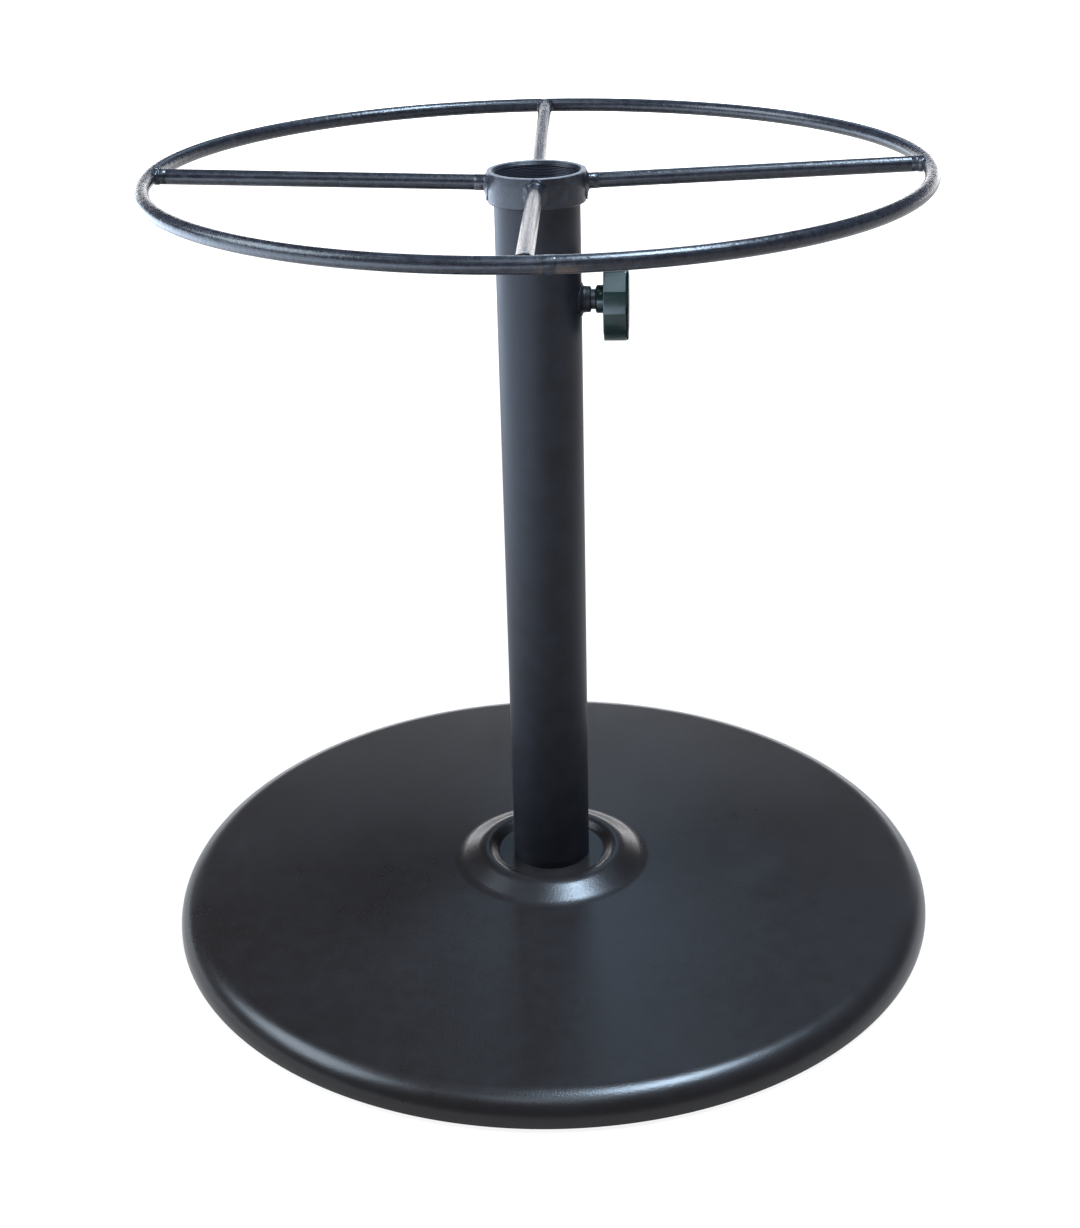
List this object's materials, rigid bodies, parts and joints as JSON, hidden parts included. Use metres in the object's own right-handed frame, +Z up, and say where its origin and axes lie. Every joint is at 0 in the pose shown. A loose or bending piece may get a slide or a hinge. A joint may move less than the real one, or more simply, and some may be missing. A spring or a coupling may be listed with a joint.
{
  "type": "parasol stand",
  "caption": "Weighted round parasol stand: tubular post with a side clamp knob, and a lift-off collar carrying a four-spoke rod ring that holds a tabletop round the pole.",
  "frame": {"origin": "on the floor, under the middle of the post", "axes": "+Z up along the post and the pole, +X along the clamp screw towards its knob"},
  "size_m": [0.5039, 0.504, 0.495],
  "materials": {
    "base_coat": "satin black powder coat with fine orange peel",
    "post_coat": "satin black powder coat",
    "ring_enamel": "semi-gloss black enamel, brushed on",
    "plate_coat": "flat black primer",
    "black_oxide": "black oxide, oiled",
    "ballast_iron": "as cast",
    "zinc_steel": "bright zinc plate",
    "plug_steel": "turned, oiled",
    "knob_plastic": "glossy moulded thermoset",
    "pad_nylon": "natural nylon",
    "foot_rubber": "matt"
  },
  "bodies": {
    "base": {"base_cover": "base_coat", "ballast_disc": "ballast_iron", "bottom_plate": "plate_coat", "plate_screws": "zinc_steel", "rubber_feet": "foot_rubber", "foot_screws": "zinc_steel", "base_bolt": "zinc_steel", "base_bolt_washer": "zinc_steel", "base_bolt_spring_washer": "zinc_steel", "post_tube": "post_coat", "post_foot_plug": "plug_steel", "clamp_boss": "post_coat", "clamp_boss_weld": "post_coat"},
    "ring_frame": {"collar": "ring_enamel", "table_ring": "ring_enamel", "ring_joint_weld": "ring_enamel", "collar_welds": "ring_enamel", "ring_welds": "ring_enamel", "spoke_right": "ring_enamel", "spoke_rear": "ring_enamel", "spoke_left": "ring_enamel", "spoke_front": "ring_enamel"},
    "clamp_tip": {"clamp_pad": "pad_nylon"},
    "clamp_screw": {"clamp_stud": "black_oxide", "clamp_knob": "knob_plastic"}
  },
  "joints": [
    {"name": "ring_lift", "type": "slide", "parent": "base", "child": "ring_frame", "axis": [0, 0, 1], "range_m": [0, 0.06]},
    {"name": "clamp_travel", "type": "slide", "parent": "base", "child": "clamp_tip", "axis": [1, 0, 0], "range_m": [-0.0024, 0.0036]},
    {"name": "clamp_turn", "type": "hinge", "parent": "clamp_tip", "child": "clamp_screw", "pos_m": [0.0335, 0, 0.4139], "axis": [1, 0, 0], "range_deg": [-480, 720]}
  ],
  "couplings": [
    {"joint": "clamp_travel", "follows": "clamp_turn", "m_per_rad": 0.00027852}
  ]
}
